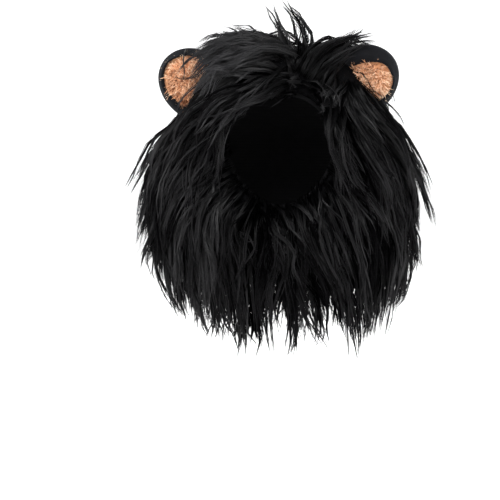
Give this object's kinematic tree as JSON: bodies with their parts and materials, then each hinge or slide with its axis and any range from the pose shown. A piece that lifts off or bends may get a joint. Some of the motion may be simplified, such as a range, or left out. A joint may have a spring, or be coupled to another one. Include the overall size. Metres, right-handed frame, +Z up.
{
  "type": "pet lion mane wig",
  "caption": "Pet lion mane wig: knitted hood open at the face and neck, deep black long-pile mane in hanging locks, cupped plush ears, throat closing band.",
  "frame": {"origin": "inside the top of the hood, where the crown of the wearer's head seats", "axes": "+Z up, the wearer looks along -Y, +X to the right as seen from the front"},
  "size_m": [0.2041, 0.1638, 0.2381],
  "materials": {
    "hood_cloth": "black knitted backing, matt",
    "long_pile": "black long-pile faux fur, soft sheen along the strands",
    "ear_cloth": "black short nap, matt",
    "ear_plush": "tan short curly plush, matt",
    "closing_band": "black woven hook-and-loop, matt"
  },
  "bodies": {
    "root": {"hood": "hood_cloth", "ruff_fur": "long_pile", "nape_fur": "long_pile", "ear_left": "ear_cloth", "ear_left_plush": "ear_plush", "ear_right": "ear_cloth", "ear_right_plush": "ear_plush", "throat_band": "closing_band"}
  },
  "joints": []
}
